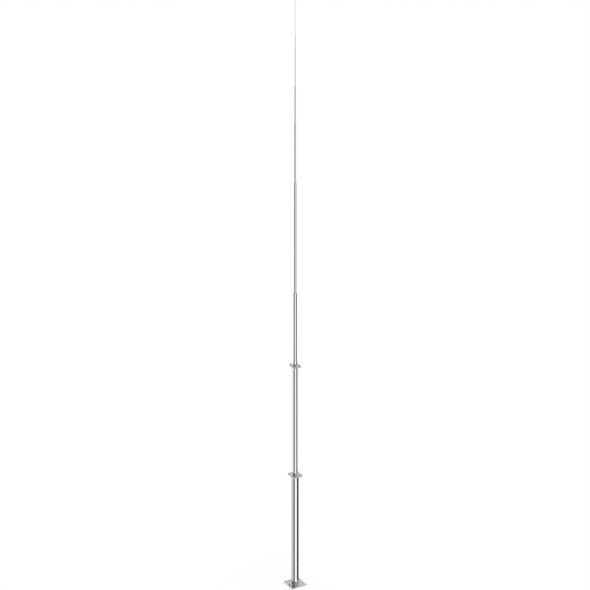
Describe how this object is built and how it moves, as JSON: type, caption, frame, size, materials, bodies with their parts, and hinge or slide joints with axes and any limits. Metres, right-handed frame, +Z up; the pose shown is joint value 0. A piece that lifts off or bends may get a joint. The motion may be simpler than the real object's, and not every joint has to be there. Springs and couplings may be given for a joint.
{
  "type": "lightning rod mast",
  "caption": "Tall steel lightning rod mast on a square base plate: flanged lower tubes, telescoped upper tubes and a slender stepped air rod.",
  "frame": {"origin": "centre of the base plate's underside", "axes": "+Z up the mast's axis, X and Y along the sides of the square base plate; the earthing lug stands at the -X side"},
  "size_m": [0.4, 0.4, 16.03],
  "materials": {
    "tube": "bright galvanised steel tube, smooth and close to a mirror",
    "plate": "bright galvanised steel plate with a fine spangle",
    "turned": "turned steel, galvanised",
    "weld": "galvanised weld bead, slightly rippled and duller than the tube",
    "rod": "bright drawn rod",
    "fastener": "galvanised bolts, nuts, washers and clamp screws"
  },
  "bodies": {
    "root": {"base_plate": "plate", "base_weld": "weld", "earthing_lug": "plate", "earthing_lug_welds": "weld", "lower_tube": "tube", "lower_head_flange": "plate", "lower_head_weld": "weld", "middle_foot_flange": "plate", "middle_foot_weld": "weld", "middle_tube": "tube", "middle_head_flange": "plate", "middle_head_weld": "weld", "upper_foot_flange": "plate", "upper_foot_weld": "weld", "upper_tube": "tube", "upper_head_ring": "turned", "upper_clamp_bosses": "turned", "first_slide_tube": "tube", "first_slide_foot_ring": "turned", "first_slide_head_ring": "turned", "first_slide_clamp_bosses": "turned", "second_slide_tube": "tube", "second_slide_foot_ring": "turned", "second_slide_head_ring": "turned", "third_slide_tube": "tube", "third_slide_foot_ring": "turned", "third_slide_neck_weld": "weld", "third_slide_head_ring": "turned", "fourth_slide_tube": "tube", "fourth_slide_foot_ring": "turned", "fourth_slide_neck_weld": "weld", "air_rod": "rod", "air_rod_weld": "weld"}
  },
  "joints": []
}
